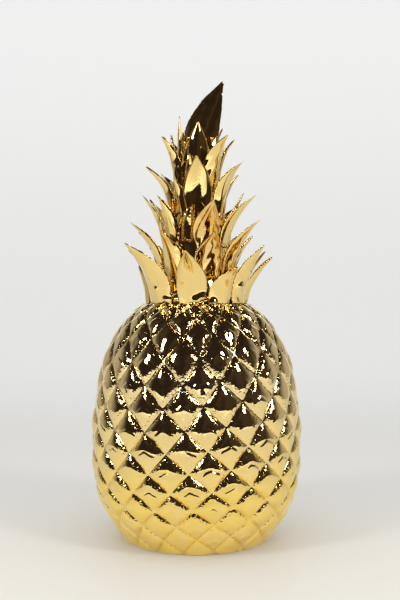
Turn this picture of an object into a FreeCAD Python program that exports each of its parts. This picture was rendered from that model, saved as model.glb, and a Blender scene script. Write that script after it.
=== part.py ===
import FreeCAD, Part
import math
import os

# Gold-glazed ceramic pineapple, 320 mm tall, standing upright on its flat foot.
# The origin is the centre of the foot's underside, +Z is up the stem, the photographed side faces -Y
# and +X is to the viewer's right.

# Driving sizes, mm
TOTAL_HEIGHT = 320.0
NECK_HEIGHT = 163.0
BODY_RADIUS = 71.2
CROWN_RADIUS = 60.0

# Scales of the fruit: two families of spiral grooves cross on the skin
DOWN_RIGHT_COUNT = 17
DOWN_LEFT_COUNT = 16
STEP_RIGHT = math.radians(11.33)
FRONT_AZIMUTH = math.radians(3.9)
DRIFT_PER_ROW = math.radians(0.6)
SCALE_RISE = 2.6
FIRST_ROW = -9
# One row of groove crossings each: its height as a share of the neck height, the groove's radius as a
# share of the body's radius, and how far a scale swells there as a share of the full rise.
# The first and last rows lie beyond the neck and the foot, which trim the skin.
ROW_SHARES = (
    (1.105, 0.260, 0.25),
    (1.080, 0.309, 0.25),
    (1.052, 0.365, 0.28),
    (1.020, 0.450, 0.34),
    (0.985, 0.552, 0.45),
    (0.936, 0.671, 0.62),
    (0.869, 0.775, 0.82),
    (0.782, 0.877, 1.00),
    (0.692, 0.933, 1.00),
    (0.604, 0.967, 1.00),
    (0.518, 0.991, 1.00),
    (0.436, 0.999, 1.00),
    (0.357, 1.000, 0.95),
    (0.282, 0.991, 0.88),
    (0.212, 0.964, 0.78),
    (0.145, 0.911, 0.74),
    (0.082, 0.832, 0.64),
    (0.022, 0.745, 0.50),
    (-0.037, 0.672, 0.36),
    (-0.098, 0.590, 0.20),
    (-0.160, 0.526, 0.20),
    (-0.222, 0.467, 0.20),
)
# How the hand-cut rows wander round the fruit, as shares of one row: cosine and sine of one and two turns
WANDER_SHARES = ((0.151, 0.080), (-0.119, 0.086))

# Walls and openings of the hollow fruit, mm
WALL = 5.0
FLOOR = 7.0
RECESS_RADIUS = 38.0
RECESS_DEPTH = 3.5
DRAIN_RADIUS = 12.0

# Soft plug of the drain hole, mm
PLUG_CLEARANCE = 0.3
PLUG_HEAD_RADIUS = 16.0
PLUG_HEAD_THICKNESS = 2.2
PLUG_LIP_RADIUS = 9.5
PLUG_LENGTH = 9.0

# Stem that carries the leaves, and its collar, which flares upward, mm
COLLAR_RADIUS = 33.6
COLLAR_THICKNESS = 4.0
COLLAR_FLARE = 1.4
# Outline of the stem above its collar: height as a share of the crown, radius as a share of the collar's
STEM_SHARES = (
    (0.05, 0.820),
    (0.12, 0.740),
    (0.24, 0.640),
    (0.36, 0.550),
    (0.48, 0.460),
    (0.60, 0.370),
    (0.68, 0.295),
    (0.74, 0.200),
)

# Leaves, mm
LEAF_WIDTH = 21.0
LEAF_THICKNESS = 2.6
LEAF_SINK = 0.7
ROOT_FIT_SHARE = 0.90
RIM_SHARE = 0.45
# Bezier handle of the midlines of each tier: share of a leaf's outward reach, share of its height.
# The upper leaves stand upright for half their height and then curl out.
BOW_SHARES = ((0.16, 0.58), (0.14, 0.58), (0.14, 0.58), (0.02, 0.68), (0.02, 0.68), (0.02, 0.62))
# Sections from root to tip: place along the midline, width from root to full, taper, channel depth per
# half width, thickness
SECTION_SHARES = (
    (0.00, 0.00, 1.00, 0.16, 1.00),
    (0.18, 0.55, 1.00, 0.22, 1.00),
    (0.38, 1.00, 0.98, 0.30, 0.95),
    (0.58, 1.00, 0.80, 0.34, 0.88),
    (0.76, 1.00, 0.50, 0.34, 0.78),
    (0.90, 1.00, 0.23, 0.30, 0.62),
    (1.00, 1.00, 0.055, 0.20, 0.42),
)
# Each tier's leaves: azimuth in degrees to the viewer's right of the front, then shares of the crown's
# height for the root and the tip, of its radius for the tip, and of the leaf width for the blade and for
# how far the tip leans sideways: (azimuth, root height, tip radius, tip height, width, lean)
TIER_SHARES = (
    (
        (-47.0, 0.00, 1.00, 0.259, 1.15, -0.25),
        (-5.0, 0.00, 0.97, 0.226, 1.00, -0.10),
        (27.0, 0.00, 0.84, 0.158, 0.85, 0.24),
        (57.0, 0.00, 0.92, 0.254, 0.88, -0.05),
        (86.0, 0.00, 0.89, 0.208, 0.84, 0.00),
        (116.0, 0.00, 0.95, 0.240, 0.92, 0.10),
        (147.0, 0.00, 0.89, 0.222, 0.88, -0.04),
        (178.0, 0.00, 1.00, 0.250, 0.95, 0.05),
        (-151.0, 0.00, 0.90, 0.230, 0.92, 0.10),
        (-119.0, 0.00, 0.97, 0.250, 0.91, -0.05),
        (-87.0, 0.00, 0.68, 0.170, 0.90, -0.10),
    ),
    (
        (-75.0, 0.115, 0.80, 0.363, 0.86, 0.00),
        (-34.0, 0.105, 0.68, 0.318, 0.88, -0.08),
        (18.0, 0.115, 0.68, 0.309, 0.96, -0.04),
        (56.0, 0.120, 0.90, 0.371, 0.71, -0.03),
        (89.0, 0.120, 0.66, 0.303, 0.75, 0.00),
        (127.0, 0.115, 0.82, 0.350, 0.86, 0.04),
        (166.0, 0.115, 0.85, 0.340, 0.86, 0.02),
        (-155.0, 0.115, 0.80, 0.360, 0.88, 0.10),
        (-115.0, 0.115, 0.78, 0.330, 0.88, 0.00),
    ),
    (
        (-83.0, 0.235, 0.67, 0.497, 0.56, 0.00),
        (-48.0, 0.250, 0.59, 0.473, 0.70, -0.04),
        (-18.0, 0.275, 0.42, 0.432, 0.42, 0.24),
        (16.0, 0.235, 0.70, 0.448, 0.92, 0.00),
        (60.0, 0.250, 0.80, 0.477, 0.70, 0.00),
        (95.0, 0.250, 0.56, 0.499, 0.60, 0.00),
        (135.0, 0.250, 0.72, 0.460, 0.72, 0.00),
        (174.0, 0.250, 0.70, 0.470, 0.72, 0.00),
        (-149.0, 0.250, 0.74, 0.450, 0.62, 0.00),
        (-116.0, 0.250, 0.64, 0.480, 0.60, 0.00),
    ),
    (
        (-73.0, 0.365, 0.61, 0.604, 0.72, 0.00),
        (-38.0, 0.395, 0.42, 0.550, 0.42, 0.00),
        (3.0, 0.365, 0.55, 0.635, 0.96, -0.07),
        (55.0, 0.375, 0.66, 0.619, 0.74, 0.00),
        (98.0, 0.375, 0.50, 0.580, 0.54, 0.00),
        (139.0, 0.375, 0.60, 0.600, 0.64, 0.03),
        (-175.0, 0.370, 0.62, 0.620, 0.70, 0.00),
        (-125.0, 0.370, 0.56, 0.600, 0.76, -0.10),
    ),
    (
        (-59.0, 0.495, 0.48, 0.741, 0.60, 0.00),
        (-102.0, 0.500, 0.31, 0.761, 0.38, 0.00),
        (-13.0, 0.500, 0.36, 0.660, 0.44, 0.00),
        (37.0, 0.495, 0.59, 0.727, 0.74, 0.00),
        (82.0, 0.500, 0.45, 0.731, 0.46, 0.00),
        (128.0, 0.495, 0.50, 0.730, 0.58, 0.00),
        (174.0, 0.490, 0.52, 0.720, 0.56, 0.02),
        (-140.0, 0.495, 0.45, 0.740, 0.48, 0.00),
    ),
    (
        (5.0, 0.590, 0.21, 0.806, 0.70, 0.00),
        (-84.0, 0.620, 0.20, 0.841, 0.34, 0.00),
        (118.0, 0.600, 0.36, 0.800, 0.56, 0.00),
        (-150.0, 0.600, 0.34, 0.790, 0.56, 0.00),
    ),
)

# Spear: one big hollow leaf that stands behind the stem's top, its open side to the front
SPEAR_AZIMUTH = -172.0
SPEAR_WIDTH = 24.4
SPEAR_THICKNESS = 3.0
# Midline handles: distance from the axis as a share of the crown's radius, height as a share of the crown
SPEAR_PATH_SHARES = ((0.06, 0.640), (0.05, 0.766), (0.00, 0.9970))
SPEAR_LEAN_SHARE = -0.90
# Sections: place, width share, channel depth per half width, thickness share
SPEAR_SECTION_SHARES = (
    (0.00, 0.60, 0.60, 1.00),
    (0.20, 0.86, 0.55, 1.00),
    (0.42, 1.00, 0.45, 0.95),
    (0.62, 0.84, 0.38, 0.90),
    (0.80, 0.56, 0.32, 0.80),
    (0.93, 0.23, 0.28, 0.65),
    (1.00, 0.09, 0.25, 0.50),
)

# Sizes that follow from the driving ones
STEP_LEFT = (2 * math.pi - DOWN_RIGHT_COUNT * STEP_RIGHT) / DOWN_LEFT_COUNT
ROWS_PER_LEVEL = 1.0 / DOWN_LEFT_COUNT
LAST_ROW = FIRST_ROW + len(ROW_SHARES) - 1
FIRST_LEVEL = (FIRST_ROW + 1) * DOWN_LEFT_COUNT
LAST_LEVEL = (LAST_ROW - 1) * DOWN_LEFT_COUNT - DOWN_RIGHT_COUNT - DOWN_LEFT_COUNT
CROWN_HEIGHT = TOTAL_HEIGHT - NECK_HEIGHT


def vec(x, y, z):
    return FreeCAD.Vector(x, y, z)


def unit(v):
    return v.multiply(1.0 / v.Length)


def cylinder(radius, bottom, top):
    return Part.makeCylinder(radius, top - bottom, vec(0, 0, bottom))


def revolve(edges):
    """Solid of revolution about the stem's axis from edges in the XZ plane."""
    face = Part.Face(Part.Wire(edges))
    solid = Part.Solid(face.revolve(vec(0, 0, 0), vec(0, 0, 1), 360))
    return solid


def path(points):
    return [Part.makeLine(a, b) for a, b in zip(points, points[1:])]


def spline(points):
    curve = Part.BSplineCurve()
    curve.interpolate(points)
    return curve.toShape()


# Skin of the fruit


def row_curve():
    """Radius, height and rise of the skin as a curve whose parameter is the row."""
    points = [vec(r * BODY_RADIUS, h * NECK_HEIGHT, s * SCALE_RISE) for h, r, s in ROW_SHARES]
    curve = Part.BSplineCurve()
    curve.interpolate(Points=points, Parameters=[float(FIRST_ROW + k) for k in range(len(points))])
    return curve


ROW_CURVE = row_curve()


def groove_point(right, left):
    """Point of the groove surface after so many steps down to the right and down to the left."""
    row = right + left * DOWN_RIGHT_COUNT * ROWS_PER_LEVEL
    angle = FRONT_AZIMUTH + right * STEP_RIGHT - left * STEP_LEFT + row * DRIFT_PER_ROW
    for turns, (cosine, sine) in enumerate(WANDER_SHARES, 1):
        row = row - cosine * math.cos(turns * angle) - sine * math.sin(turns * angle)
    at = ROW_CURVE.value(row)
    return vec(at.x * math.sin(angle), -at.x * math.cos(angle), at.y), at.z


def edge_handle(start, end, middle, straight):
    """Middle pole of a groove edge that bends through the groove surface."""
    chord = (start + end) * 0.5
    if straight:
        return chord
    return middle * 2 - chord


def scale_face(level):
    """One diamond scale, a smooth pillow between four groove edges."""
    r, l = -level, level
    top = groove_point(r, l)[0]
    right = groove_point(r + 1, l)[0]
    left = groove_point(r, l + 1)[0]
    bottom = groove_point(r + 1, l + 1)[0]
    centre, rise = groove_point(r + 0.5, l + 0.5)
    low = level + DOWN_RIGHT_COUNT
    high = level + DOWN_LEFT_COUNT
    handles = (
        edge_handle(top, right, groove_point(r + 0.5, l)[0], level < FIRST_LEVEL + DOWN_RIGHT_COUNT),
        edge_handle(top, left, groove_point(r, l + 0.5)[0], level < FIRST_LEVEL + DOWN_LEFT_COUNT),
        edge_handle(left, bottom, groove_point(r + 0.5, l + 1)[0], low > LAST_LEVEL),
        edge_handle(right, bottom, groove_point(r + 1, l + 0.5)[0], high > LAST_LEVEL),
    )
    outward = unit((left - right).cross(bottom - top))
    if outward.dot(vec(centre.x, centre.y, 0)) < 0:
        outward = outward * -1
    crest = centre + outward * rise
    corners = top + right + left + bottom
    sides = handles[0] + handles[1] + handles[2] + handles[3]
    lifted = crest * 4 - corners * 0.25 - sides * 0.5
    surface = Part.BezierSurface()
    surface.increase(2, 2)
    grid = (
        (top, handles[1], left),
        (handles[0], lifted, handles[2]),
        (right, handles[3], bottom),
    )
    for u, line in enumerate(grid, 1):
        for v, pole in enumerate(line, 1):
            surface.setPole(u, v, pole)
    return surface.toShape().Faces[0]


def fan(first, apex):
    """Flat triangles from a point on the axis to the ragged rim of crossings that starts at one level."""
    steps = [(level, 1, 0) for level in range(first, first + DOWN_RIGHT_COUNT)]
    steps += [(level, 0, 1) for level in range(first, first + DOWN_LEFT_COUNT)]
    faces = []
    for level, right, left in steps:
        start = groove_point(-level, level)[0]
        end = groove_point(right - level, left + level)[0]
        faces.append(Part.Face(Part.makePolygon([start, end, apex, start])))
    return faces


def skin_solid():
    """The fruit's outer form, closed above the neck and below the foot."""
    faces = [scale_face(level) for level in range(FIRST_LEVEL, LAST_LEVEL + 1)]
    top = ROW_CURVE.value(float(FIRST_ROW)).y
    bottom = ROW_CURVE.value(float(LAST_ROW)).y
    faces += fan(FIRST_LEVEL, vec(0, 0, top))
    faces += fan(LAST_LEVEL + 1, vec(0, 0, bottom))
    shell = Part.makeShell(faces)
    shell.sewShape()
    solid = Part.Solid(Part.Shell(shell.Faces))
    if solid.Volume < 0:
        solid.reverse()
    return solid


def cavity_solid():
    """The space that the drained slip leaves, one wall inside the grooves."""
    wall_points = []
    for row in range(FIRST_ROW + 5, LAST_ROW - 4):
        at = ROW_CURVE.value(float(row))
        along = ROW_CURVE.tangent(float(row))[0]
        slope = unit(vec(along.x, 0, along.y))
        inward = vec(slope.z, 0, -slope.x)
        wall_points.append(vec(at.x, 0, at.y) + inward * WALL)
    top = wall_points[0]
    low = wall_points[-1]
    ceiling = NECK_HEIGHT - WALL
    outline = path([low, vec(low.x - WALL, 0, FLOOR), vec(0, 0, FLOOR), vec(0, 0, ceiling),
                    vec(top.x - WALL, 0, ceiling), top])
    return revolve(outline + [spline(wall_points)])


def body_shell():
    envelope = cylinder(BODY_RADIUS + 2 * SCALE_RISE, 0, NECK_HEIGHT)
    body = skin_solid().common(envelope)
    hollow = cavity_solid().fuse([
        cylinder(RECESS_RADIUS, -WALL, RECESS_DEPTH),
        cylinder(DRAIN_RADIUS, -WALL, 2 * FLOOR),
    ])
    return body.cut(hollow)


def base_stopper():
    """Plug whose head sits in the foot's recess and whose neck fills the drain hole."""
    face = RECESS_DEPTH - PLUG_CLEARANCE
    under = face - PLUG_HEAD_THICKNESS
    top = under + PLUG_LENGTH
    neck = DRAIN_RADIUS - PLUG_CLEARANCE
    return revolve(path([
        vec(0, 0, under),
        vec(PLUG_HEAD_RADIUS, 0, under),
        vec(PLUG_HEAD_RADIUS, 0, face),
        vec(neck, 0, face),
        vec(neck, 0, FLOOR),
        vec(PLUG_LIP_RADIUS, 0, top),
        vec(0, 0, top),
        vec(0, 0, under),
    ]))


# Crown


def stem_points():
    return [vec(r * COLLAR_RADIUS, 0, NECK_HEIGHT + h * CROWN_HEIGHT) for h, r in STEM_SHARES]


def stem_radius(height):
    """Radius of the stem at a height above the ground."""
    points = [vec(COLLAR_RADIUS, 0, NECK_HEIGHT + COLLAR_THICKNESS)] + stem_points()
    if height <= points[0].z:
        return COLLAR_RADIUS
    for a, b in zip(points, points[1:]):
        if height <= b.z:
            return a.x + (b.x - a.x) * (height - a.z) / (b.z - a.z)
    return points[-1].x


def stem_outline():
    points = stem_points()
    collar_top = vec(COLLAR_RADIUS, 0, NECK_HEIGHT + COLLAR_THICKNESS)
    collar_foot = vec(COLLAR_RADIUS - COLLAR_FLARE, 0, NECK_HEIGHT)
    outline = path([vec(0, 0, points[-1].z), vec(0, 0, NECK_HEIGHT), collar_foot, collar_top, points[0]])
    outline.append(spline(points))
    outline += path([points[-1], vec(0, 0, points[-1].z)])
    return outline


def smooth_arc(start, middle, end):
    curve = Part.BezierCurve()
    curve.setPoles([start, middle * 2 - (start + end) * 0.5, end])
    return curve.toShape()


def blade(handles, azimuth, lean, sections):
    """Lofted leaf along a bowed midline: sections are (place, width, channel depth, thickness)."""
    outward = vec(math.sin(azimuth), -math.cos(azimuth), 0)
    aside = vec(math.cos(azimuth), math.sin(azimuth), 0)
    wires = []
    for place, width, channel, thickness in sections:
        rest = 1 - place
        weights = (rest * rest, 2 * rest * place, place * place)
        rates = (-2 * rest, 2 * rest - 2 * place, 2 * place)
        reach = sum(w * p[0] for w, p in zip(weights, handles))
        rise = sum(w * p[1] for w, p in zip(weights, handles))
        middle = outward * reach + vec(0, 0, rise) + aside * (lean * place * place)
        along = outward * sum(w * p[0] for w, p in zip(rates, handles))
        along = along + vec(0, 0, sum(w * p[1] for w, p in zip(rates, handles)))
        along = unit(along + aside * (2 * lean * place))
        across = unit(aside - along * along.dot(aside))
        back = across.cross(along)
        half = width * 0.5
        drop = back * channel
        skin = back * (thickness * 0.5)
        rim = skin * RIM_SHARE
        left = middle - across * half - drop
        right = middle + across * half - drop
        outer = smooth_arc(left + rim, middle + skin, right + rim)
        inner = smooth_arc(right - rim, middle - skin, left - rim)
        ends = path([right + rim, right - rim]), path([left - rim, left + rim])
        wires.append(Part.Wire([outer, ends[0][0], inner, ends[1][0]]))
    return Part.makeLoft(wires, True, False)


def leaf(row, bow, gap):
    """One leaf of a tier; bow is its midline's handle and gap the angle to its nearest neighbour."""
    azimuth, root, tip_reach, tip_height, width_share, lean_share = row
    root_height = NECK_HEIGHT + root * CROWN_HEIGHT
    root_reach = stem_radius(root_height) + LEAF_THICKNESS * 0.5 - LEAF_SINK
    rise = tip_height * CROWN_HEIGHT + NECK_HEIGHT - root_height
    spread = tip_reach * CROWN_RADIUS - root_reach
    handles = (
        (root_reach, root_height),
        (root_reach + bow[0] * spread, root_height + bow[1] * rise),
        (root_reach + spread, root_height + rise),
    )
    full = width_share * LEAF_WIDTH
    root_width = min(full, ROOT_FIT_SHARE * root_reach * gap)
    sections = []
    for place, growth, taper, channel, thickness in SECTION_SHARES:
        width = (root_width + (full - root_width) * growth) * taper
        depth = channel * width * 0.5
        if growth == 0:
            depth = root_reach - math.sqrt(root_reach ** 2 - width ** 2 / 4)
        sections.append((place, width, depth, thickness * LEAF_THICKNESS))
    return blade(handles, math.radians(azimuth), lean_share * LEAF_WIDTH, sections)


def nearest_gap(azimuths, own):
    """Smallest angle from one leaf of a ring to the next."""
    turns = [math.radians(other - own) for other in azimuths if other != own]
    return min(abs(math.remainder(turn, 2 * math.pi)) for turn in turns)


def spear_leaf():
    handles = [(r * CROWN_RADIUS, NECK_HEIGHT + h * CROWN_HEIGHT) for r, h in SPEAR_PATH_SHARES]
    sections = [
        (place, w * SPEAR_WIDTH, c * w * SPEAR_WIDTH * 0.5, t * SPEAR_THICKNESS)
        for place, w, c, t in SPEAR_SECTION_SHARES
    ]
    lean = SPEAR_LEAN_SHARE * LEAF_WIDTH
    return blade(handles, math.radians(SPEAR_AZIMUTH), lean, sections)


def crown_parts():
    """Stem, leaves and spear by node name. Each leaf is cut back to the stem that it is luted onto, and
    the spear to the top ring of leaves as well."""
    stem = revolve(stem_outline())
    below = cylinder(BODY_RADIUS, NECK_HEIGHT - LEAF_WIDTH, NECK_HEIGHT)
    shapes = {"crown_stem": stem}
    for tier, (rows, bow) in enumerate(zip(TIER_SHARES, BOW_SHARES), 1):
        azimuths = [row[0] for row in rows]
        ring = {}
        for number, row in enumerate(rows, 1):
            blank = leaf(row, bow, nearest_gap(azimuths, row[0]))
            ring[f"leaf_tier{tier}_{number:02d}"] = blank.cut([stem, below])
        shapes.update(ring)
    shapes["spear_leaf"] = spear_leaf().cut([stem, *ring.values()])
    return shapes


def main():
    shapes = {"body_shell": body_shell(), "base_stopper": base_stopper()}
    shapes.update(crown_parts())
    os.makedirs("parts", exist_ok=True)
    for name, shape in shapes.items():
        solids = shape.Solids
        if len(solids) == 1:
            shape = solids[0]
        print(name, "solids", len(solids), "valid", shape.isValid(), "volume", round(shape.Volume, 1))
        shape.exportStep(os.path.join("parts", name + ".step"))


main()
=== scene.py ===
"""Gold-lustred ceramic pineapple on a pale studio table.

The fruit, its crown of pressed leaves, the spear and the soft plug under the foot are built round
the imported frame. Lengths in the classes are millimetres, unless a name ends in _m, _px or _share,
and meshes are in metres. A Band holds the start and the end of a smooth step, which falls where the
end is the lower one.
"""
import logging
import math
from dataclasses import dataclass, field
from enum import Enum
from typing import Callable, Sequence

import bmesh
import bpy
import numpy as np
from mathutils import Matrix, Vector


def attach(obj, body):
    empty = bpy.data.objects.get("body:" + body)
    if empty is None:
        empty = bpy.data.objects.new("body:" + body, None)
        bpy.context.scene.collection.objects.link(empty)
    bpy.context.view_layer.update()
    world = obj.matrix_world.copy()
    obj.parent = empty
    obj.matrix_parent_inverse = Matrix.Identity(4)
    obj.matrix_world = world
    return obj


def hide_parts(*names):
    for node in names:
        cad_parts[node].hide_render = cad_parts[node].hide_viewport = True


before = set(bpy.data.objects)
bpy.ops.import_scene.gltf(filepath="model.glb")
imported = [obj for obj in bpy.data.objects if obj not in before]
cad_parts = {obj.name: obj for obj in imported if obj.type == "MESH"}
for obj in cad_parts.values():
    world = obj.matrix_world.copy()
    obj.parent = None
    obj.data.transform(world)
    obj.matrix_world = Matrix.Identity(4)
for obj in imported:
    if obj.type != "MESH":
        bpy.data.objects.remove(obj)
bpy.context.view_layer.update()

LOG = logging.getLogger("pineapple")
MM = 0.001
MM_PER_M = 1000.0
NECK_HEIGHT = 163.0
# Attribute with the share of the lustre's second colour: thin-fired lustre and painted reflection.
AMBER_AND_REFLECTION = "amber_and_reflection"
SCALE_MAP = "scale"
# Sockets of a Mix node that mixes colours: its factor, its two colours and its result
FACTOR, FIRST, SECOND, MIXED = 0, 6, 7, 2

Socket = bpy.types.NodeSocket
Band = tuple[float, float]


class Body(Enum):
    """The rigid bodies of the frame."""

    FIGURINE = "figurine"
    STOPPER = "stopper"


class Slot(Enum):
    """The record's material slots."""

    GOLD = "gold_lustre"
    PLUG = "stopper"


# Small tools


def linear(code: str) -> tuple[float, float, float, float]:
    """Turn an sRGB hex colour into linear light by the sRGB standard's curve.

    Args:
        code: colour such as "#f2d28a".

    Returns:
        Linear red, green, blue and an alpha of one.
    """
    values = [int(code[k : k + 2], 16) / 255 for k in (1, 3, 5)]
    light = [v / 12.92 if v <= 0.04045 else ((v + 0.055) / 1.055) ** 2.4 for v in values]
    return (*light, 1.0)


def band(ends: Band) -> dict:
    """Settings of a smooth step.

    Args:
        ends: where it is nought and where it is one.

    Returns:
        Settings for a Map Range node.
    """
    return {"interpolation_type": "SMOOTHSTEP", "From Min": ends[0], "From Max": ends[1]}


def add_node(tree: bpy.types.NodeTree, kind: str, settings: dict) -> bpy.types.Node:
    """Add one node with its settings and links.

    Args:
        tree: node tree that gets the node.
        kind: node type, such as "ShaderNodeTexNoise".
        settings: values by attribute or input socket; an output socket is linked to the input.

    Returns:
        The new node.
    """
    node = tree.nodes.new(kind)
    for key, value in settings.items():
        if isinstance(value, Socket):
            tree.links.new(value, node.inputs[key])
        elif isinstance(key, int) or key in node.inputs:
            node.inputs[key].default_value = value
        else:
            setattr(node, key, value)
    return node


def new_object(name: str, data: bpy.types.ID) -> bpy.types.Object:
    """Put new data in the scene as an object at the origin.

    Args:
        name: the object's name.
        data: its mesh, light or camera.

    Returns:
        The new object.
    """
    thing = bpy.data.objects.new(name, data)
    bpy.context.scene.collection.objects.link(thing)
    return thing


def select_only(piece: bpy.types.Object) -> None:
    """Make one object the selected and active one, so that an operator acts on it alone.

    Args:
        piece: the object.
    """
    if bpy.context.object and bpy.context.object.mode != "OBJECT":
        bpy.ops.object.mode_set(mode="OBJECT")
    bpy.ops.object.select_all(action="DESELECT")
    piece.select_set(True)
    bpy.context.view_layer.objects.active = piece


def report(piece: bpy.types.Object, body: Body, slot: Slot) -> None:
    """Log one finished piece.

    Args:
        piece: the object.
        body: body that it rides on.
        slot: material slot of the record.
    """
    faces = len(piece.data.polygons)
    LOG.info("%s on %s in %s: %d faces", piece.name, body.value, slot.value, faces)


def dress(piece: bpy.types.Object, material: bpy.types.Material) -> None:
    """Give a piece its only material.

    Args:
        piece: the object.
        material: its finish.
    """
    piece.data.materials.clear()
    piece.data.materials.append(material)


def settle(
    piece: bpy.types.Object,
    body: Body,
    slot: Slot,
    nodes: Sequence[str],
    material: bpy.types.Material,
) -> None:
    """Dress a finished piece, seat it on its body and let it stand for its frame nodes.

    Args:
        piece: finished object.
        body: body that it rides on.
        slot: material slot of the record.
        nodes: frame nodes that it replaces.
        material: its only material.
    """
    dress(piece, material)
    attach(piece, body.value)
    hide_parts(*nodes)
    report(piece, body, slot)


def vertex_vectors(mesh: bpy.types.Mesh, name: str) -> np.ndarray:
    """Read a vector of every vertex.

    Args:
        mesh: the mesh.
        name: "co" for the places or "normal" for the normals.

    Returns:
        Array with one row per vertex.
    """
    values = np.empty(len(mesh.vertices) * 3)
    mesh.vertices.foreach_get(name, values)
    return values.reshape(-1, 3)


def move_vertices(mesh: bpy.types.Mesh, places: np.ndarray) -> None:
    """Put every vertex at a new place.

    Args:
        mesh: the mesh.
        places: array with one row per vertex.
    """
    mesh.vertices.foreach_set("co", places.reshape(-1))
    mesh.update()


def mark_amber_and_reflection(mesh: bpy.types.Mesh, values: np.ndarray) -> None:
    """Write the share of the lustre's second colour at every vertex, which the gold lustre reads:
    thin-fired lustre with painted reflection of neighbouring gold on the leaves, and painted warm
    reflection alone on the fruit.

    Args:
        mesh: the mesh.
        values: one share per vertex.
    """
    marks = mesh.attributes.new(AMBER_AND_REFLECTION, "FLOAT", "POINT")
    marks.data.foreach_set("value", values.astype(np.float32))


def natural_spline(xs: np.ndarray, ys: np.ndarray) -> Callable[[np.ndarray], np.ndarray]:
    """Natural cubic spline through evenly spaced points.

    Args:
        xs: places, one apart.
        ys: values, one row per place.

    Returns:
        Function from places to values.
    """
    count = len(xs)
    matrix = np.eye(count) * 4.0
    matrix[0, 0] = matrix[-1, -1] = 1.0
    for k in range(1, count - 1):
        matrix[k, k - 1] = matrix[k, k + 1] = 1.0
    side = np.zeros_like(ys)
    side[1:-1] = 6.0 * (ys[2:] - 2 * ys[1:-1] + ys[:-2])
    bend = np.linalg.solve(matrix, side)

    def evaluate(places: np.ndarray) -> np.ndarray:
        """Values at any places.

        Args:
            places: array of places.

        Returns:
            Array of values, one more axis than the places.
        """
        cell = np.clip(np.floor(places - xs[0]).astype(int), 0, count - 2)
        t = (places - xs[0] - cell)[..., None]
        low, high, bend_low, bend_high = ys[cell], ys[cell + 1], bend[cell], bend[cell + 1]
        rest = 1 - t
        curve = ((rest**3 - rest) * bend_low + (t**3 - t) * bend_high) / 6.0
        return rest * low + t * high + curve

    return evaluate


# Finishes


class Graph:
    """The node tree of a material or a world, filled from empty."""

    def __init__(
        self, owner: bpy.types.Material | bpy.types.World, coordinates: str = "Object"
    ) -> None:
        """Start an empty tree.

        Args:
            owner: material or world that gets the tree.
            coordinates: name of the coordinates that its patterns follow.
        """
        owner.use_nodes = True
        self.tree = owner.node_tree
        self.tree.nodes.clear()
        self.place = self.add("ShaderNodeTexCoord", {}, coordinates)

    def add(self, kind: str, settings: dict, output: int | str = 0) -> Socket:
        """Add one node and give one of its outputs.

        Args:
            kind: node type.
            settings: values and sockets, as add_node takes them.
            output: number or name of the output.

        Returns:
            That output socket.
        """
        return add_node(self.tree, kind, settings).outputs[output]

    def finish(self, shader: str, output: str, settings: dict) -> None:
        """Close the tree with a shader and the output.

        Args:
            shader: the shader's node type.
            output: the output's node type.
            settings: values and sockets of the shader.
        """
        add_node(self.tree, output, {"Surface": self.add(shader, settings)})


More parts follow.
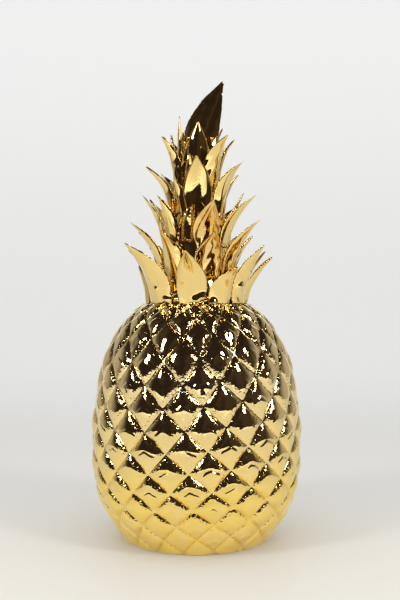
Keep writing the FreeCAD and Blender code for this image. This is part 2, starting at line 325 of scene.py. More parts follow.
@dataclass(frozen=True)
class GoldLustre:
    """Bright gold lustre fired over glaze: a mirror that shows every ripple of the glaze under it.

    A piece with the map of its scales also shows their bracts, beads and lumps as relief.
    """

    name: str
    colour: str = "#f4d990"
    # Second colour that the attribute mixes in: thin-fired lustre, and painted warm reflection.
    amber_and_reflection: str = "#e0a33f"
    roughness: float = 0.05
    ripple_mm: float = 2.4
    ripple_depth_mm: float = 0.016
    ripple_detail: float = 3.0
    ripple_fineness: float = 0.45
    eye_depth_mm: float = 0.0
    eye_wobble_mm: float = 6.0
    eye_wobble: float = 0.30
    eye_round: float = 0.002
    eye_slope: float = -0.62
    eye_height: float = 0.20
    eye_lip: Band = (0.0, 0.15)
    eye_fade: Band = (0.60, 0.16)
    eye_sides: Band = (0.56, 0.30)
    eye_patch_mm: float = 23.0
    eye_patches: Band = (0.30, 0.62)
    bead_depth_mm: float = 0.0
    bead_mm: float = 2.0
    bead_start: Band = (0.55, 0.80)
    bead_end: Band = (1.0, 0.93)
    bead_lumps: Band = (0.45, 0.72)
    lump_depth_mm: float = 0.12
    lump_mm: float = 4.5
    lump_rise: Band = (0.0, 0.30)
    cloud_mm: float = 9.0
    clouds: Band = (0.25, 0.65)
    mottle: float = 1.0

    def eye(self, graph: Graph, across: Socket, up: Socket) -> Socket:
        """Height of the small caret-shaped bract below the middle of a scale.

        Args:
            graph: the material's graph.
            across: place across the scale, one at its corners.
            up: place up the scale, one at its corners.

        Returns:
            Socket with a share of the eye's depth.
        """
        wobble = graph.add(
            "ShaderNodeTexNoise",
            {"Vector": graph.place, "Scale": MM_PER_M / self.eye_wobble_mm, "Detail": 1.0},
        )
        sway = graph.add(
            "ShaderNodeMath",
            {
                "operation": "MULTIPLY_ADD",
                0: wobble,
                1: self.eye_wobble,
                2: -self.eye_wobble / 2,
            },
        )
        side = graph.add("ShaderNodeMath", {"operation": "ADD", 0: across, 1: sway})
        square = graph.add(
            "ShaderNodeMath",
            {"operation": "MULTIPLY_ADD", 0: side, 1: side, 2: self.eye_round},
        )
        rounded = graph.add("ShaderNodeMath", {"operation": "SQRT", 0: square})
        ridge = graph.add(
            "ShaderNodeMath",
            {"operation": "MULTIPLY_ADD", 0: rounded, 1: self.eye_slope, 2: self.eye_height},
        )
        below = graph.add("ShaderNodeMath", {"operation": "SUBTRACT", 0: ridge, 1: up})
        patch = graph.add(
            "ShaderNodeTexNoise",
            {"Vector": graph.place, "Scale": MM_PER_M / self.eye_patch_mm, "Detail": 0.0},
        )
        share = graph.add("ShaderNodeMapRange", {**band(self.eye_lip), "Value": below})
        for ends, value in (
            (self.eye_fade, below),
            (self.eye_sides, rounded),
            (self.eye_patches, patch),
        ):
            limit = graph.add("ShaderNodeMapRange", {**band(ends), "Value": value})
            share = graph.add("ShaderNodeMath", {"operation": "MULTIPLY", 0: share, 1: limit})
        return share

    def beads(self, graph: Graph, across: Socket, up: Socket) -> Socket:
        """Height of the small beads along the grooves.

        Args:
            graph: the material's graph.
            across: place across the scale.
            up: place up the scale.

        Returns:
            Socket with a share of the beads' depth.
        """
        sides = [
            graph.add("ShaderNodeMath", {"operation": "ABSOLUTE", 0: value})
            for value in (across, up)
        ]
        spread = graph.add("ShaderNodeMath", {"operation": "ADD", 0: sides[0], 1: sides[1]})
        noise = graph.add(
            "ShaderNodeTexNoise",
            {"Vector": graph.place, "Scale": MM_PER_M / self.bead_mm, "Detail": 1.0},
        )
        share = graph.add("ShaderNodeMapRange", {**band(self.bead_start), "Value": spread})
        for ends, value in ((self.bead_end, spread), (self.bead_lumps, noise)):
            limit = graph.add("ShaderNodeMapRange", {**band(ends), "Value": value})
            share = graph.add("ShaderNodeMath", {"operation": "MULTIPLY", 0: share, 1: limit})
        return share

    def lumps(self, graph: Graph, up: Socket) -> Socket:
        """Height of the soft lumps on the upper half of a scale.

        Args:
            graph: the material's graph.
            up: place up the scale.

        Returns:
            Socket with a share of the lumps' depth.
        """
        noise = graph.add(
            "ShaderNodeTexNoise",
            {"Vector": graph.place, "Scale": MM_PER_M / self.lump_mm, "Detail": 1.0},
        )
        upper = graph.add("ShaderNodeMapRange", {**band(self.lump_rise), "Value": up})
        return graph.add("ShaderNodeMath", {"operation": "MULTIPLY", 0: noise, 1: upper})

    def relief(self, graph: Graph) -> Socket:
        """Height of the whole surface.

        Args:
            graph: the material's graph.

        Returns:
            Socket with the height in metres.
        """
        noise = graph.add(
            "ShaderNodeTexNoise",
            {
                "Vector": graph.place,
                "Scale": MM_PER_M / self.ripple_mm,
                "Detail": self.ripple_detail,
                "Roughness": self.ripple_fineness,
            },
        )
        height = graph.add(
            "ShaderNodeMath", {"operation": "MULTIPLY", 0: noise, 1: self.ripple_depth_mm * MM}
        )
        if not self.eye_depth_mm:
            return height
        scale = graph.add("ShaderNodeUVMap", {"uv_map": SCALE_MAP})
        axes = add_node(graph.tree, "ShaderNodeSeparateXYZ", {"Vector": scale}).outputs
        across, up = axes["X"], axes["Y"]
        for share, depth in (
            (self.lumps(graph, up), self.lump_depth_mm),
            (self.eye(graph, across, up), self.eye_depth_mm),
            (self.beads(graph, across, up), self.bead_depth_mm),
        ):
            height = graph.add(
                "ShaderNodeMath",
                {"operation": "MULTIPLY_ADD", 0: share, 1: depth * MM, 2: height},
            )
        return height

    def build(self) -> bpy.types.Material:
        """Make the material.

        Returns:
            The new material.
        """
        material = bpy.data.materials.new(self.name)
        graph = Graph(material)
        bump = graph.add(
            "ShaderNodeBump", {"Strength": 1.0, "Distance": 1.0, "Height": self.relief(graph)}
        )
        # Share of the second colour: thin-fired lustre and painted reflection on the leaves,
        # painted warm reflection on the fruit.
        patch = graph.add("ShaderNodeAttribute", {"attribute_name": AMBER_AND_REFLECTION}, "Fac")
        noise = graph.add(
            "ShaderNodeTexNoise",
            {"Vector": graph.place, "Scale": MM_PER_M / self.cloud_mm, "Detail": 1.0},
        )
        cloud = graph.add("ShaderNodeMapRange", {**band(self.clouds), "Value": noise})
        mottled = graph.add(
            "ShaderNodeMath",
            {"operation": "MULTIPLY_ADD", 0: cloud, 1: self.mottle, 2: 1 - self.mottle},
        )
        stain_and_reflection = graph.add("ShaderNodeMath", {"operation": "MULTIPLY", 0: patch, 1: mottled})
        tint = graph.add(
            "ShaderNodeMix",
            {
                "data_type": "RGBA",
                FACTOR: stain_and_reflection,
                FIRST: linear(self.colour),
                SECOND: linear(self.amber_and_reflection),
            },
            MIXED,
        )
        graph.finish(
            "ShaderNodeBsdfPrincipled",
            "ShaderNodeOutputMaterial",
            {"Metallic": 1.0, "Roughness": self.roughness, "Base Color": tint, "Normal": bump},
        )
        return material


@dataclass(frozen=True)
class SoftVinyl:
    """Moulded soft vinyl of the plug: milky, matt and a little grubby in its grain."""

    name: str = "moulded_soft_vinyl"
    colour: str = "#d8d3c4"
    shade: str = "#bdb6a2"
    roughness: float = 0.55
    refraction: float = 1.53
    grain_mm: float = 0.8
    grain_depth_mm: float = 0.05
    grain_strength: float = 0.4
    grain_detail: float = 4.0

    def build(self) -> bpy.types.Material:
        """Make the material.

        Returns:
            The new material.
        """
        material = bpy.data.materials.new(self.name)
        graph = Graph(material)
        grain = graph.add(
            "ShaderNodeTexNoise",
            {
                "Vector": graph.place,
                "Scale": MM_PER_M / self.grain_mm,
                "Detail": self.grain_detail,
            },
        )
        tint = graph.add(
            "ShaderNodeMix",
            {
                "data_type": "RGBA",
                FACTOR: grain,
                FIRST: linear(self.colour),
                SECOND: linear(self.shade),
            },
            MIXED,
        )
        bump = graph.add(
            "ShaderNodeBump",
            {
                "Strength": self.grain_strength,
                "Distance": self.grain_depth_mm * MM,
                "Height": grain,
            },
        )
        graph.finish(
            "ShaderNodeBsdfPrincipled",
            "ShaderNodeOutputMaterial",
            {
                "Roughness": self.roughness,
                "IOR": self.refraction,
                "Base Color": tint,
                "Normal": bump,
            },
        )
        return material


# The fruit


@dataclass
class Fruit:
    """Hollow fruit whose skin is crossed by two families of spiral grooves.

    Each row of row_shares is one row of groove crossings: its height as a share of the neck's, its
    radius as a share of the fruit's, and the rise of a scale there as a share of the full rise.
    """

    neck_height: float = NECK_HEIGHT
    radius: float = 71.2
    rise: float = 2.6
    down_right_grooves: int = 17
    down_left_grooves: int = 16
    step_right: float = math.radians(11.33)
    front_azimuth: float = math.radians(3.9)
    drift_per_row: float = math.radians(0.6)
    first_row: int = -9
    row_shares: tuple = (
        (1.105, 0.260, 0.25), (1.080, 0.309, 0.25), (1.052, 0.365, 0.28), (1.020, 0.450, 0.34),
        (0.985, 0.552, 0.45), (0.936, 0.671, 0.62), (0.869, 0.775, 0.82), (0.782, 0.877, 1.00),
        (0.692, 0.933, 1.00), (0.604, 0.967, 1.00), (0.518, 0.991, 1.00), (0.436, 0.999, 1.00),
        (0.357, 1.000, 0.95), (0.282, 0.991, 0.88), (0.212, 0.964, 0.78), (0.145, 0.911, 0.74),
        (0.082, 0.832, 0.64), (0.022, 0.745, 0.50), (-0.037, 0.672, 0.36), (-0.098, 0.590, 0.20),
        (-0.160, 0.526, 0.20), (-0.222, 0.467, 0.20),
    )
    wander_shares: tuple = ((0.151, 0.080), (-0.119, 0.086))
    wall: float = 5.0
    floor: float = 7.0
    rows_under_hollow: int = 5
    rows_over_hollow: int = 4
    recess: float = 38.0
    recess_depth: float = 3.5
    drain: float = 12.0
    foot_round: float = 0.9
    cells: int = 18
    crowding: float = 0.56
    rim: float = 0.45
    low_rim: float = 0.76
    dome_power: float = 2.2
    rim_power: float = 5.5
    lift: float = 0.13
    sway: float = 0.12
    least_full: float = 0.90
    most_full: float = 1.08
    valley: float = 0.05
    groove_depth: float = 0.36
    groove_share: float = 0.085
    groove_reach: float = 55.0
    slope_step: float = 0.01
    merge_gap: float = 0.002
    smooth_angle: float = math.radians(50)
    # Painted warm reflection on the fruit, by height: strongest near the foot, faint near the neck.
    warm_reflection_heights: tuple = (40.0, 66.0, 110.0)
    warm_reflection_shares: tuple = (0.92, 0.50, 0.14)
    seed: int = 11
    rows: Callable[[np.ndarray], np.ndarray] = field(init=False)
    last_row: int = field(init=False)
    step_left: float = field(init=False)

    def __post_init__(self) -> None:
        """Prepare the curve of rows and the left step."""
        table = np.array(self.row_shares)
        values = np.column_stack(
            [table[:, 1] * self.radius, table[:, 0] * self.neck_height, table[:, 2] * self.rise]
        )
        places = np.arange(len(table)) + float(self.first_row)
        self.rows = natural_spline(places, values)
        self.last_row = self.first_row + len(table) - 1
        right_turn = self.down_right_grooves * self.step_right
        self.step_left = (2 * math.pi - right_turn) / self.down_left_grooves

    def groove(self, right: np.ndarray, left: np.ndarray) -> tuple[np.ndarray, np.ndarray]:
        """Points of the groove surface.

        Args:
            right: steps down to the right.
            left: steps down to the left.

        Returns:
            Points in mm and the full rise there.
        """
        row = right + left * self.down_right_grooves / self.down_left_grooves
        angle = (
            self.front_azimuth
            + right * self.step_right
            - left * self.step_left
            + row * self.drift_per_row
        )
        for turns, (cosine, sine) in enumerate(self.wander_shares, 1):
            row = row - cosine * np.cos(turns * angle) - sine * np.sin(turns * angle)
        at = self.rows(row)
        x, y = at[..., 0] * np.sin(angle), -at[..., 0] * np.cos(angle)
        return np.stack([x, y, at[..., 1]], axis=-1), at[..., 2]

    def profile(self, share: np.ndarray, rim: np.ndarray) -> np.ndarray:
        """Swell of a scale from one groove to the opposite one: a flat dome with a steep rim.

        Args:
            share: share of the way across.
            rim: share of the height that the rim takes.

        Returns:
            Nought on the grooves and one in the middle.
        """
        off = np.abs(2 * share - 1)
        return 1 - (1 - rim) * off**self.dome_power - rim * off**self.rim_power

    def scale_relief(
        self, a: np.ndarray, b: np.ndarray, fullness: np.ndarray, chance: np.random.Generator
    ) -> np.ndarray:
        """Height of one scale over its grooves as a share of its rise.

        Args:
            a: share of the way down to the right.
            b: share of the way down to the left.
            fullness: its rise as a share of the full rise; low scales have the steeper rims.
            chance: seeded random source.

        Returns:
            Array of shares, nought on the grooves.
        """
        rim = self.rim + self.low_rim * (1 - fullness)
        pillow = self.profile(a, rim) * self.profile(b, rim)
        across, up = a - b, 1 - a - b
        sway, lift = chance.uniform(-self.sway, self.sway, 2)
        tilted = pillow * (1.0 + sway * across + (lift + self.lift) * up)
        height = tilted * chance.uniform(self.least_full, self.most_full)
        soft = self.valley
        return (np.sqrt(height**2 + soft**2) - soft) / (math.sqrt(1 + soft**2) - soft)

    def skin(self) -> tuple[np.ndarray, np.ndarray, np.ndarray]:
        """All scales, past the neck and the foot.

        Returns:
            Vertices in mm, quads, and each vertex's place on its scale.
        """
        side = self.cells + 1
        t = np.linspace(0, 1, side)
        t = t - self.crowding * np.sin(2 * math.pi * t) / (2 * math.pi)
        a, b = np.meshgrid(t, t, indexing="ij")
        edge = np.minimum(np.minimum(a, 1 - a), np.minimum(b, 1 - b))
        places = np.stack([a - b, 1 - a - b], axis=-1).reshape(-1, 2)
        grid = np.arange(side * side).reshape(side, side)
        corners = [grid[:-1, :-1], grid[:-1, 1:], grid[1:, 1:], grid[1:, :-1]]
        cell_quads = np.stack(corners, axis=-1).reshape(-1, 4)
        chance = np.random.default_rng(self.seed)
        step = self.slope_step
        first = (self.first_row + 1) * self.down_left_grooves
        last = (self.last_row - 2) * self.down_left_grooves - self.down_right_grooves
        points, quads = [], []
        for level in range(first, last + 1):
            right, left = a - level, b + level
            base, rise = self.groove(right, left)
            along = self.groove(right + step, left)[0] - self.groove(right - step, left)[0]
            aside = self.groove(right, left + step)[0] - self.groove(right, left - step)[0]
            outward = np.cross(aside, along)
            outward /= np.linalg.norm(outward, axis=-1, keepdims=True)
            relief = self.scale_relief(a, b, rise / self.rise, chance) * rise
            low = np.clip(1 - base[..., 2] / self.groove_reach, 0, 1)
            relief -= self.groove_depth * low * np.exp(-((edge / self.groove_share) ** 2))
            quads.append(cell_quads + len(points) * side * side)
            points.append((base + outward * relief[..., None]).reshape(-1, 3))
        return np.concatenate(points), np.concatenate(quads), np.tile(places, (len(points), 1))

    def wall_rings(self) -> list[tuple[float, float]]:
        """Rings that line the hollow, from the foot up to its ceiling.

        Returns:
            Radius and height of each ring.
        """
        inner = []
        lowest = self.last_row - self.rows_under_hollow
        highest = self.first_row + self.rows_over_hollow
        for row in range(lowest, highest, -1):
            here = self.rows(np.array([float(row)]))[0]
            ahead = self.rows(np.array([row + self.slope_step]))[0]
            slope = (ahead - here)[:2] / np.linalg.norm((ahead - here)[:2])
            inner.append((here[0] + slope[1] * self.wall, here[1] - slope[0] * self.wall))
        return [
            (self.recess, 0.0),
            (self.recess, self.recess_depth),
            (self.drain, self.recess_depth),
            (self.drain, self.floor),
            (inner[0][0] - self.wall, self.floor),
            *inner,
            (inner[-1][0] - self.wall, self.neck_height - self.wall),
        ]

    def raw_skin(self) -> bpy.types.Object:
        """Make the skin's mesh, with the map of its scales and its share of painted warm
        reflection, strongest near the foot.

        Returns:
            The new object, open at the foot and past the neck.
        """
        points, quads, places = self.skin()
        mesh = bpy.data.meshes.new("fruit")
        mesh.from_pydata((points * MM).tolist(), [], quads.tolist())
        scale_map = mesh.uv_layers.new(name=SCALE_MAP)
        scale_map.data.foreach_set("uv", places[quads.reshape(-1)].reshape(-1))
        # Painted warm reflection, fading from the foot upwards.
        mark_amber_and_reflection(mesh, np.interp(points[:, 2], self.warm_reflection_heights, self.warm_reflection_shares))
        return new_object("fruit", mesh)

    def trim(self) -> None:
        """Merge the scales of the active object and cut it off at the foot and the neck."""
        bpy.ops.object.mode_set(mode="EDIT")
        bpy.ops.mesh.select_all(action="SELECT")
        bpy.ops.mesh.remove_doubles(threshold=self.merge_gap * MM)
        for height, away, fill in ((self.foot_round, -1, False), (self.neck_height, 1, True)):
            bpy.ops.mesh.select_all(action="SELECT")
            bpy.ops.mesh.bisect(
                plane_co=(0, 0, height * MM),
                plane_no=(0, 0, away),
                use_fill=fill,
                clear_outer=True,
            )
        bpy.ops.object.mode_set(mode="OBJECT")

    def line(self, mesh: bpy.types.Mesh) -> None:
        """Close the open foot with the rounded foot ring, the recess, the drain and the hollow.

        Args:
            mesh: trimmed skin.
        """
        shape = bmesh.new()
        shape.from_mesh(mesh)
        rim = {vert for edge in shape.edges if edge.is_boundary for vert in edge.verts}
        rim_verts = sorted(rim, key=lambda v: math.atan2(v.co.y, v.co.x))
        count = len(rim_verts)
        rounded = [(math.hypot(v.co.x, v.co.y) / MM - self.foot_round, 0.0) for v in rim_verts]
        previous = rim_verts
        for ring in [rounded] + [[ring] * count for ring in self.wall_rings()]:
            current = []
            for vert, (radius, height) in zip(rim_verts, ring):
                angle = math.atan2(vert.co.y, vert.co.x)
                x, y = radius * MM * math.cos(angle), radius * MM * math.sin(angle)
                current.append(shape.verts.new((x, y, height * MM)))
            for k in range(count):
                after = (k + 1) % count
                shape.faces.new((previous[k], previous[after], current[after], current[k]))
            previous = current
        shape.faces.new(previous)
        shape.to_mesh(mesh)
        shape.free()

    def build(self, material: bpy.types.Material) -> None:
        """Model the fruit.

        Args:
            material: its finish.
        """
        piece = self.raw_skin()
        select_only(piece)
        self.trim()
        self.line(piece.data)
        bpy.ops.object.mode_set(mode="EDIT")
        bpy.ops.mesh.select_all(action="SELECT")
        bpy.ops.mesh.normals_make_consistent(inside=False)
        bpy.ops.object.mode_set(mode="OBJECT")
        bpy.ops.object.shade_smooth_by_angle(angle=self.smooth_angle)
        settle(piece, Body.FIGURINE, Slot.GOLD, ["body_shell"], material)


# The crown


def facing(places: np.ndarray) -> tuple[np.ndarray, np.ndarray]:
    """Level directions at a leaf, from where its middle lies round the stem.

    Args:
        places: the leaf's vertices.

    Returns:
        Direction out of its face and direction along its face.
    """
    centre = places.mean(axis=0)
    turn = math.atan2(centre[0], -centre[1])
    outward = np.array([math.sin(turn), -math.cos(turn), 0.0])
    aside = np.array([math.cos(turn), math.sin(turn), 0.0])
    return outward, aside


@dataclass
class Crown:
    """Stem, pressed leaves and spear, each softened and rippled as clay under a thick glaze is.

    folds holds each wave's share of the fold's size and how far it may slant.
    amber_and_reflection_tips holds the share of a leaf's height where the tip's second colour
    begins and how strong it is at the tip; that colour is thin-fired lustre together with painted
    reflection of neighbouring gold. swells holds a lump's place aside of the leaf's middle, its
    height over the neck, its radius and its rise.
    """

    neck_height: float = NECK_HEIGHT
    leaf_voxel: float = 0.6
    stem_voxel: float = 0.9
    quick_factor: float = 1.8
    weld_gap: float = 0.001
    smooth_share: float = 0.5
    smooth_turns: int = 5
    fold: float = 18.0
    fold_depth: float = 0.30
    fold_sum: float = 1.2
    folds: tuple = ((1.0, 0.3), (0.7, 0.5), (0.45, 0.9))
    seed: int = 5
    rim_bend: float = 0.10
    # Rims get the second colour: thin-fired lustre and painted reflection of neighbouring gold.
    rim_stain_and_reflection: float = 0.70
    tip_gain: float = 1.6
    past_tip: float = 1.001
    lump_spread: float = 0.6
    spear_share: float = 0.35
    # Tips with the second colour: thin-fired lustre and painted reflection of neighbouring gold.
    amber_and_reflection_tips: dict = field(
        default_factory=lambda: {
            "leaf_tier2_03": (0.25, 0.8),
            "leaf_tier2_02": (0.60, 0.9),
            "leaf_tier3_04": (0.20, 0.8),
            "leaf_tier1_02": (0.75, 0.6),
            "leaf_tier1_03": (0.75, 0.8),
            "leaf_tier1_01": (0.88, 0.4),
            "leaf_tier4_04": (0.70, 0.4),
        }
    )
    swells: dict = field(
        default_factory=lambda: {
            "leaf_tier1_01": ((2.0, 10.0, 3.5, 0.9), (8.0, 3.0, 4.0, 1.0)),
            "leaf_tier1_02": (
                (3.0, 2.5, 4.5, 1.5),
                (8.5, 4.5, 5.0, 2.0),
                (-6.0, 16.0, 4.0, 0.6),
            ),
            "leaf_tier1_03": ((-6.0, 1.0, 4.0, 1.6),),
            "leaf_tier1_04": ((-3.5, 11.5, 4.6, 1.6), (3.0, 21.0, 3.0, 1.2)),
        }
    )

    def names(self) -> list[str]:
        """Frame nodes of the crown."""
        others = ("spear_leaf", "crown_stem")
        return sorted(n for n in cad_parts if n.startswith("leaf_") or n in others)

    def ripple(self, mesh: bpy.types.Mesh, share: float, chance: np.random.Generator) -> None:
        """Push the surface in and out by a few folds that run up the leaf.

        Args:
            mesh: remeshed leaf.
            share: share of the full depth.
            chance: seeded random source.
        """
        places, normals = vertex_vectors(mesh, "co"), vertex_vectors(mesh, "normal")
        _, aside = facing(places)
        push = np.zeros(len(places))
        for size, slant in self.folds:
            way = aside + np.array([0.0, 0.0, chance.uniform(-slant, slant)])
            way *= 2 * math.pi / (self.fold * size * MM)
            push += size * np.sin(places @ way + chance.uniform(0, 2 * math.pi))
        push *= share * self.fold_depth * MM / self.fold_sum
        move_vertices(mesh, places + normals * push[:, None])

    def swell(self, mesh: bpy.types.Mesh, lumps: tuple) -> None:
        """Raise soft lumps on a leaf's outer face, where the slip ran and gathered.

        Args:
            mesh: rippled leaf.
            lumps: place aside, height over the neck, radius and rise of each lump.
        """
        places = vertex_vectors(mesh, "co")
        outward, along = facing(places)
        aside = places @ along / MM
        height = places[:, 2] / MM - self.neck_height
        push = np.zeros(len(places))
        for beside, above, radius, rise in lumps:
            off = (aside - beside) ** 2 + (height - above) ** 2
            push += rise * np.exp(-off / (self.lump_spread * radius) ** 2)
        move_vertices(mesh, places + outward * push[:, None] * MM)

    def sharpness(self, mesh: bpy.types.Mesh) -> np.ndarray:
        """How sharply the surface bends outward, from nought to one on a leaf's rim.

        Args:
            mesh: the leaf's mesh.

        Returns:
            One value per vertex.
        """
        places = vertex_vectors(mesh, "co")
        count = len(places)
        pairs = np.empty(len(mesh.edges) * 2, dtype=int)
        mesh.edges.foreach_get("vertices", pairs)
        one, other = pairs.reshape(-1, 2).T
        near = np.bincount(one, minlength=count) + np.bincount(other, minlength=count)

        def spread(values: np.ndarray) -> np.ndarray:
            """Mean of the neighbours' values."""
            total = np.bincount(one, values[other], count) + np.bincount(other, values[one], count)
            return total / near

        middle = np.stack([spread(places[:, k]) for k in range(3)], axis=-1)
        bend = ((places - middle) * vertex_vectors(mesh, "normal")).sum(axis=1)
        return spread(spread(np.clip(bend / (self.rim_bend * MM), 0, 1)))

    def stain_and_reflection(self, mesh: bpy.types.Mesh, start: float, strength: float) -> None:
        """Mark where the lustre burned thin, on the rims and towards some tips, together with
        painted reflection of neighbouring gold there.

        Args:
            mesh: finished leaf.
            start: share of its height where the tip's second colour begins.
            strength: how strong it is at the tip.
        """
        heights = vertex_vectors(mesh, "co")[:, 2]
        share = (heights - heights.min()) / (heights.max() - heights.min())
        rise = (share - start) / (self.past_tip - start) * self.tip_gain
        tip = np.clip(rise, 0, 1) * strength
        # Thin-fired lustre together with painted reflection on the rims and tips.
        mark_amber_and_reflection(mesh, np.maximum(tip, self.sharpness(mesh) * self.rim_stain_and_reflection))

    def soften(self, piece: bpy.types.Object, voxel: float) -> None:
        """Merge a copy of a solid, mesh it evenly and round it off.

        Args:
            piece: the copy.
            voxel: size of the even mesh.
        """
        weld = piece.modifiers.new("weld", "WELD")
        weld.merge_threshold = self.weld_gap * MM
        remesh = piece.modifiers.new("clay", "REMESH")
        remesh.mode = "VOXEL"
        remesh.voxel_size = 1.0 * voxel * MM
        smooth = piece.modifiers.new("glaze", "SMOOTH")
        smooth.factor = self.smooth_share
        smooth.iterations = self.smooth_turns
        select_only(piece)
        for modifier in list(piece.modifiers):
            bpy.ops.object.modifier_apply(modifier=modifier.name)

    def glazed(
        self, node: str, material: bpy.types.Material, chance: np.random.Generator
    ) -> None:
        """Copy a frame node, round it off and ripple it.

        Args:
            node: frame node.
            material: finish.
            chance: seeded random source.
        """
        piece = new_object(f"glazed_{node}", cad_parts[node].data.copy())
        self.soften(piece, self.stem_voxel if node == "crown_stem" else self.leaf_voxel)
        self.ripple(piece.data, self.spear_share if node == "spear_leaf" else 1.0, chance)
        self.swell(piece.data, self.swells.get(node, ()))
        bpy.ops.object.shade_smooth()
        # Second colour on rims and tips: thin-fired lustre and painted reflection.
        self.stain_and_reflection(piece.data, *self.amber_and_reflection_tips.get(node, (1.0, 0.0)))
        settle(piece, Body.FIGURINE, Slot.GOLD, [node], material)

    def build(self, material: bpy.types.Material) -> None:
        """Make every crown piece.

        Args:
            material: finish.
        """
        chance = np.random.default_rng(self.seed)
        for node in self.names():
            self.glazed(node, material, chance)


# The plug


@dataclass
class Plug:
    """Soft plug in the drain hole, whose solid is left as it is and only dressed."""

    node: str = "base_stopper"

    def build(self, material: bpy.types.Material) -> None:
        """Dress the plug.

        Args:
            material: its finish.
        """
        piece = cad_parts[self.node]
        dress(piece, material)
        report(piece, Body.STOPPER, Slot.PLUG)


# The studio


@dataclass
class Studio:
    """Pale sweep that runs up behind the object, two soft lights, a dark room and the camera.

    The bands named after parts of the sweep are places along Y, those of the wall along Z, and
    foot_band_m is a distance from the middle. The room's bands are directions.
    """

    distance: float = 633.0
    camera_height: float = 176.0
    camera_aside: float = 2.4
    pitch: float = math.radians(0.95)
    focal_px: float = 897.0
    long_side_px: float = 600.0
    sensor: float = 36.0
    nearest_m: float = 0.01
    front_edge: float = 640.0
    back_edge: float = 900.0
    bend: float = 700.0
    bend_steps: int = 32
    top_edge: float = 2600.0
    half_width: float = 900.0
    card_roughness: float = 0.5
    card_shine: float = 0.25
    low_colour: str = "#e3dfd7"
    # Painted shade: a darker band behind the object. Painted light: paler further back and up the
    # wall.
    dip_painted_shade: str = "#d9d8d4"
    dip_painted_shade_band_m: Band = (-0.10, 0.16)
    back_painted_light: str = "#e9e9e8"
    back_painted_light_band_m: Band = (0.34, 0.95)
    wall_painted_light: str = "#f5f5f5"
    wall_painted_light_band_m: Band = (0.05, 0.80)
    # Painted light: the card's glow that only the mirror of the glaze sees, streaky at the front
    # and faint round the foot.
    glow_colour: str = "#fffaf2"
    mirror_glow: float = 0.95
    front_band_m: Band = (-0.22, -0.60)
    foot_glow: float = 0.08
    foot_band_m: Band = (0.20, 0.10)
    streak: float = 70.0
    streak_stretch: float = 0.3
    streak_band: Band = (0.38, 0.62)
    streak_least: float = 0.1
    fill: float = 0.92
    room_colour: str = "#2a2222"
    ceiling_colour: str = "#40352e"
    room_scale: float = 1.6
    room_band: Band = (0.42, 0.68)
    side_colour: str = "#b9b2a8"
    side_band: Band = (-0.30, 0.55)
    side_height_band: Band = (0.80, 0.35)
    softbox_azimuths: tuple = (("left", -52), ("right", 50))
    softbox_elevation: float = 35
    softbox_distance_m: float = 1.25
    softbox_size_m: tuple = (0.22, 0.44)
    softbox_watts: float = 3.6
    aim_height_m: float = 0.15

    def camera(self) -> None:
        """Place the camera at the photograph's viewing angle."""
        data = bpy.data.cameras.new("camera")
        data.sensor_width = self.sensor
        data.lens = self.focal_px / self.long_side_px * self.sensor
        data.clip_start = self.nearest_m
        camera = new_object("camera", data)
        camera.location = (
            self.camera_aside * MM,
            -self.distance * MM,
            self.camera_height * MM,
        )
        camera.rotation_euler = (math.radians(90) - self.pitch, 0, 0)
        bpy.context.scene.camera = camera

    def tone(self, graph: Graph, y: Socket, z: Socket) -> Socket:
        """Colour of the card: painted shade, a little darker where it starts to rise, and painted
        light, paler further back and up the wall.

        Args:
            graph: the card's graph.
            y: place along the table.
            z: height.

        Returns:
            Socket with the colour.
        """
        colour = linear(self.low_colour)
        for code, ends, place in (
            (self.dip_painted_shade, self.dip_painted_shade_band_m, y),
            (self.back_painted_light, self.back_painted_light_band_m, y),
            (self.wall_painted_light, self.wall_painted_light_band_m, z),
        ):
            share = graph.add("ShaderNodeMapRange", {**band(ends), "Value": place})
            colour = graph.add(
                "ShaderNodeMix",
                {"data_type": "RGBA", FACTOR: share, FIRST: colour, SECOND: linear(code)},
                MIXED,
            )
        return colour

    def glow(self, graph: Graph, x: Socket, y: Socket) -> Socket:
        """Strength of the card's painted light, an uneven glow that only the mirror of the glaze
        sees: streaks on its front and a faint glow round the foot.

        Args:
            graph: the card's graph.
            x: place across the table.
            y: place along the table.

        Returns:
            Socket with the strength.
        """
        squeezed = graph.add(
            "ShaderNodeMath", {"operation": "MULTIPLY", 0: y, 1: self.streak_stretch}
        )
        stretched = graph.add("ShaderNodeCombineXYZ", {"X": x, "Y": squeezed})
        uneven = graph.add(
            "ShaderNodeTexNoise",
            {"Vector": stretched, "Scale": MM_PER_M / self.streak, "Detail": 1.0},
        )
        streaks = graph.add("ShaderNodeMapRange", {**band(self.streak_band), "Value": uneven})
        streak = graph.add(
            "ShaderNodeMath",
            {
                "operation": "MULTIPLY_ADD",
                0: streaks,
                1: 1 - self.streak_least,
                2: self.streak_least,
            },
        )
        nearness = graph.add("ShaderNodeMapRange", {**band(self.front_band_m), "Value": y})
        front = graph.add("ShaderNodeMath", {"operation": "MULTIPLY", 0: nearness, 1: streak})
        squares = [
            graph.add("ShaderNodeMath", {"operation": "MULTIPLY", 0: value, 1: value})
            for value in (x, y)
        ]
        total = graph.add("ShaderNodeMath", {"operation": "ADD", 0: squares[0], 1: squares[1]})
        radius = graph.add("ShaderNodeMath", {"operation": "SQRT", 0: total})
        close = graph.add("ShaderNodeMapRange", {**band(self.foot_band_m), "Value": radius})
        foot = graph.add(
            "ShaderNodeMath", {"operation": "MULTIPLY", 0: close, 1: self.foot_glow}
        )
        both = graph.add(
            "ShaderNodeMath",
            {"operation": "MULTIPLY_ADD", 0: front, 1: self.mirror_glow, 2: foot},
        )
        mirrored = graph.add("ShaderNodeLightPath", {}, "Is Glossy Ray")
        return graph.add("ShaderNodeMath", {"operation": "MULTIPLY", 0: both, 1: mirrored})

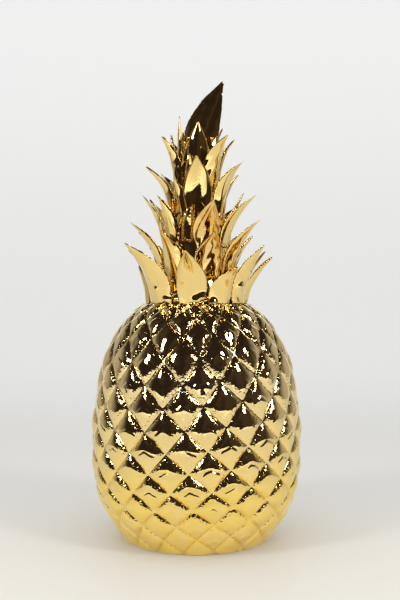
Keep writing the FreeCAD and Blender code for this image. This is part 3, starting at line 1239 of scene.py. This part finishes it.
    def card(self) -> bpy.types.Material:
        """Matt white card of the sweep.

        Its colour holds painted shade and painted light along the sweep. To the camera it shows no
        glow. In the mirror of the glaze its front glows unevenly with painted light, standing in
        for a window behind the camera.

        Returns:
            Its material.
        """
        material = bpy.data.materials.new("matt_white_card")
        graph = Graph(material)
        axes = add_node(graph.tree, "ShaderNodeSeparateXYZ", {"Vector": graph.place}).outputs
        graph.finish(
            "ShaderNodeBsdfPrincipled",
            "ShaderNodeOutputMaterial",
            {
                "Roughness": self.card_roughness,
                "Specular IOR Level": self.card_shine,
                "Emission Color": linear(self.glow_colour),
                "Base Color": self.tone(graph, axes["Y"], axes["Z"]),
                "Emission Strength": self.glow(graph, axes["X"], axes["Y"]),
            },
        )
        return material

    def sweep(self) -> None:
        """Lay the sweep: a flat front, a slow bend and an upright back."""
        profile = [(-self.front_edge, 0.0), (self.back_edge, 0.0)]
        for k in range(1, self.bend_steps + 1):
            turn = math.radians(90) * k / self.bend_steps
            y = self.back_edge + self.bend * math.sin(turn)
            profile.append((y, self.bend * (1 - math.cos(turn))))
        profile.append((self.back_edge + self.bend, self.top_edge))
        points = [
            (side * self.half_width * MM, y * MM, z * MM) for y, z in profile for side in (-1, 1)
        ]
        faces = [(2 * k, 2 * k + 1, 2 * k + 3, 2 * k + 2) for k in range(len(profile) - 1)]
        mesh = bpy.data.meshes.new("sweep")
        mesh.from_pydata(points, [], faces)
        mesh.materials.append(self.card())
        sweep = new_object("sweep", mesh)
        select_only(sweep)
        bpy.ops.object.shade_smooth()

    def softbox(self, name: str, azimuth: float) -> None:
        """Hang one soft light that looks at the middle of the object.

        Args:
            name: its name.
            azimuth: degrees to the viewer's right of the camera's side.
        """
        data = bpy.data.lights.new(name, "AREA")
        data.shape = "RECTANGLE"
        data.size, data.size_y = self.softbox_size_m
        data.energy = self.softbox_watts
        light = new_object(name, data)
        turn, tilt = math.radians(azimuth), math.radians(self.softbox_elevation)
        x, y = math.sin(turn) * math.cos(tilt), -math.cos(turn) * math.cos(tilt)
        away = Vector((x, y, math.sin(tilt)))
        light.location = Vector((0, 0, self.aim_height_m)) + away * self.softbox_distance_m
        light.rotation_euler = away.to_track_quat("Z", "Y").to_euler()
        light.visible_camera = False

    def world(self) -> None:
        """Even fill on the card, and a dark brown room in the mirror of the glaze."""
        world = bpy.data.worlds.new("studio")
        bpy.context.scene.world = world
        graph = Graph(world, "Generated")
        axes = add_node(graph.tree, "ShaderNodeSeparateXYZ", {"Vector": graph.place}).outputs
        blotch = graph.add(
            "ShaderNodeTexNoise", {"Vector": graph.place, "Scale": self.room_scale, "Detail": 2.0}
        )
        share = graph.add("ShaderNodeMapRange", {**band(self.room_band), "Value": blotch})
        behind = graph.add("ShaderNodeMapRange", {**band(self.side_band), "Value": axes["Y"]})
        below = graph.add(
            "ShaderNodeMapRange", {**band(self.side_height_band), "Value": axes["Z"]}
        )
        pale = graph.add("ShaderNodeMath", {"operation": "MULTIPLY", 0: behind, 1: below})
        mirrored = graph.add("ShaderNodeLightPath", {}, "Is Glossy Ray")
        room = linear(self.room_colour)
        for factor, colour in (
            (share, linear(self.ceiling_colour)),
            (pale, linear(self.side_colour)),
        ):
            room = graph.add(
                "ShaderNodeMix",
                {"data_type": "RGBA", FACTOR: factor, FIRST: room, SECOND: colour},
                MIXED,
            )
        white = (self.fill, self.fill, self.fill, 1.0)
        seen = graph.add(
            "ShaderNodeMix",
            {"data_type": "RGBA", FACTOR: mirrored, FIRST: white, SECOND: room},
            MIXED,
        )
        graph.finish(
            "ShaderNodeBackground", "ShaderNodeOutputWorld", {"Color": seen, "Strength": 1.0}
        )

    def build(self) -> None:
        """Set up the whole studio."""
        self.camera()
        self.sweep()
        self.world()
        for side, azimuth in self.softbox_azimuths:
            self.softbox(f"{side}_softbox", azimuth)
        bpy.context.scene.view_settings.view_transform = "Standard"


def main() -> None:
    """Build the studio, the fruit, the crown and the plug in order."""
    logging.basicConfig(level=logging.INFO)
    Studio().build()
    # On the scales the second colour is painted warm reflection, strongest near the foot.
    on_scales = GoldLustre(
        "gold_lustre_on_scales",
        colour="#f4dfaa",
        amber_and_reflection="#f9da72",
        mottle=0.3,
        eye_depth_mm=0.55,
        bead_depth_mm=0.16,
    )
    on_leaves = GoldLustre("gold_lustre_on_leaves", ripple_mm=5.0, ripple_depth_mm=0.02)
    Fruit().build(on_scales.build())
    Crown().build(on_leaves.build())
    Plug().build(SoftVinyl().build())


if __name__ == "__main__":
    main()
